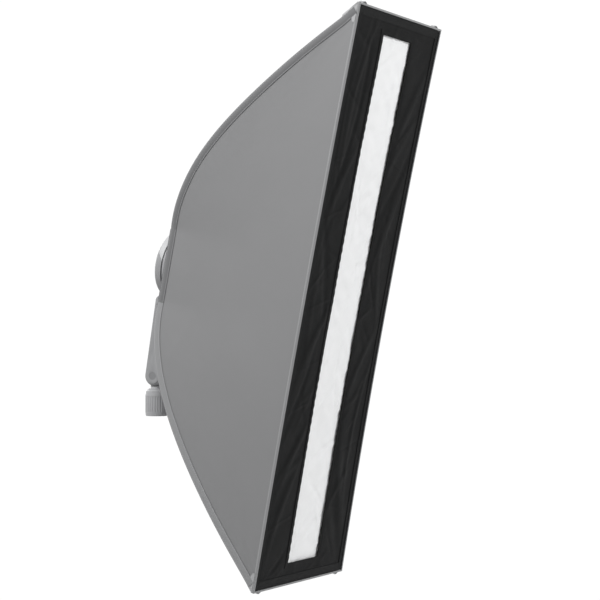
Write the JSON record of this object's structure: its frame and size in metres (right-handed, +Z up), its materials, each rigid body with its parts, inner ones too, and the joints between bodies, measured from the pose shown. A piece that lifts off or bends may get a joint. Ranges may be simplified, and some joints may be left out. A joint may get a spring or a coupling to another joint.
{
  "type": "strip softbox",
  "caption": "Narrow rectangular softbox on folding rods, with a slit mask, a turning speed ring and a tilting stand arm with a ribbed clamp collar.",
  "frame": {"origin": "centre of the stand socket's mouth, at the bottom of the clamp collar", "axes": "+Z up along the stand axis, the light leaves towards -Y and is tilted 11.5 degrees down at rest, +X across the width to the right when seen from the front camera side looking along +Y"},
  "size_m": [0.3, 0.4638, 0.8831],
  "materials": {
    "grey_fabric": "tightly woven coated nylon",
    "grey_webbing": "ribbed binding tape",
    "black_nylon": "satin woven nylon",
    "white_diffusion": "matte white diffusion cloth",
    "felt": "pressed felt",
    "fibreglass": "pultruded glass fibre",
    "black_plastic": "moulded",
    "light_grey_plastic": "fine moulded texture",
    "dark_grey_plastic": "fine moulded texture",
    "steel": "zinc plated",
    "brass_insert": "knurled"
  },
  "bodies": {
    "stand_adapter": {"stand_socket": "dark_grey_plastic", "collet_sleeve": "black_plastic", "snap_ring": "steel", "thrust_washer": "light_grey_plastic"},
    "clamp_collar": {"clamp_collar": "dark_grey_plastic"},
    "wedge_ring": {"wedge_ring": "steel"},
    "arm": {"bracket_ring": "dark_grey_plastic", "ring_cover_upper": "light_grey_plastic", "ring_cover_lower": "dark_grey_plastic", "cover_screws": "steel", "friction_ring": "felt", "arm_shell_left": "dark_grey_plastic", "arm_shell_right": "dark_grey_plastic", "arm_screws": "steel", "tilt_axle": "steel", "friction_washers": "light_grey_plastic"},
    "tilt_knob": {"tilt_knob": "black_plastic", "knob_insert": "brass_insert"},
    "speed_ring": {"rotor_ring": "light_grey_plastic", "retaining_ring": "dark_grey_plastic", "retaining_screws": "steel", "magnets": "steel", "hinge_ring": "dark_grey_plastic", "hinge_ring_screws": "steel", "hinge_pins": "steel", "button_springs_upper": "steel", "button_springs_lower": "steel", "rear_panel": "grey_fabric", "side_panel_left": "grey_fabric", "side_panel_right": "grey_fabric", "side_binding_left": "grey_webbing", "side_binding_right": "grey_webbing", "front_diffuser": "white_diffusion", "strip_mask": "black_nylon", "inner_baffle": "white_diffusion", "baffle_straps": "black_nylon"},
    "release_button_upper": {"release_button_upper": "light_grey_plastic"},
    "release_button_lower": {"release_button_lower": "light_grey_plastic"},
    "upper_rods": {"rod_upper_left": "fibreglass", "rod_upper_right": "fibreglass", "rod_ferrules_upper": "steel", "rod_tips_upper": "black_plastic", "rod_sleeves_upper": "grey_fabric", "corner_pockets_upper": "grey_webbing", "top_panel": "grey_fabric", "top_binding": "grey_webbing"},
    "lower_rods": {"rod_lower_left": "fibreglass", "rod_lower_right": "fibreglass", "rod_ferrules_lower": "steel", "rod_tips_lower": "black_plastic", "rod_sleeves_lower": "grey_fabric", "corner_pockets_lower": "grey_webbing", "bottom_panel": "grey_fabric", "bottom_binding": "grey_webbing"}
  },
  "joints": [
    {"name": "tilt", "type": "hinge", "parent": "stand_adapter", "child": "arm", "pos_m": [0, 0, 0.066], "axis": [1, 0, 0], "range_deg": [-90, 15]},
    {"name": "tilt_knob_turn", "type": "hinge", "parent": "arm", "child": "tilt_knob", "pos_m": [0.02, 0, 0.066], "axis": [1, 0, 0], "range_deg": [0, 90]},
    {"name": "collar_twist", "type": "hinge", "parent": "stand_adapter", "child": "clamp_collar", "pos_m": [0, 0, 0.02], "axis": [0, 0, 1], "range_deg": [0, 180]},
    {"name": "wedge_lift", "type": "slide", "parent": "stand_adapter", "child": "wedge_ring", "axis": [0, 0, 1], "range_m": [0, 0.00081]},
    {"name": "roll", "type": "hinge", "parent": "arm", "child": "speed_ring", "pos_m": [0, -0.05002, 0.24665], "axis": [0, 0.9799, 0.1994], "continuous": true},
    {"name": "fold", "type": "hinge", "parent": "speed_ring", "child": "upper_rods", "pos_m": [0, -0.0721, 0.28094], "axis": [1, 0, 0], "range_deg": [0, 54], "deforming": ["front_diffuser", "strip_mask", "inner_baffle", "baffle_straps"]},
    {"name": "fold_lower", "type": "hinge", "parent": "speed_ring", "child": "lower_rods", "pos_m": [0, -0.05695, 0.20647], "axis": [1, 0, 0], "range_deg": [-54, 0]},
    {"name": "release_upper", "type": "slide", "parent": "speed_ring", "child": "release_button_upper", "axis": [0, 0.1994, -0.9799], "range_m": [0, 0.0025], "stiffness_N_per_m": 600, "springref_m": -0.002, "deforming": ["button_springs_upper"]},
    {"name": "release_lower", "type": "slide", "parent": "speed_ring", "child": "release_button_lower", "axis": [0, -0.1994, 0.9799], "range_m": [0, 0.0025], "stiffness_N_per_m": 600, "springref_m": -0.002, "deforming": ["button_springs_lower"]}
  ],
  "couplings": [
    {"joint": "fold_lower", "follows": "fold", "ratio": -1},
    {"joint": "wedge_lift", "follows": "collar_twist", "m_per_rad": 0.000254}
  ]
}
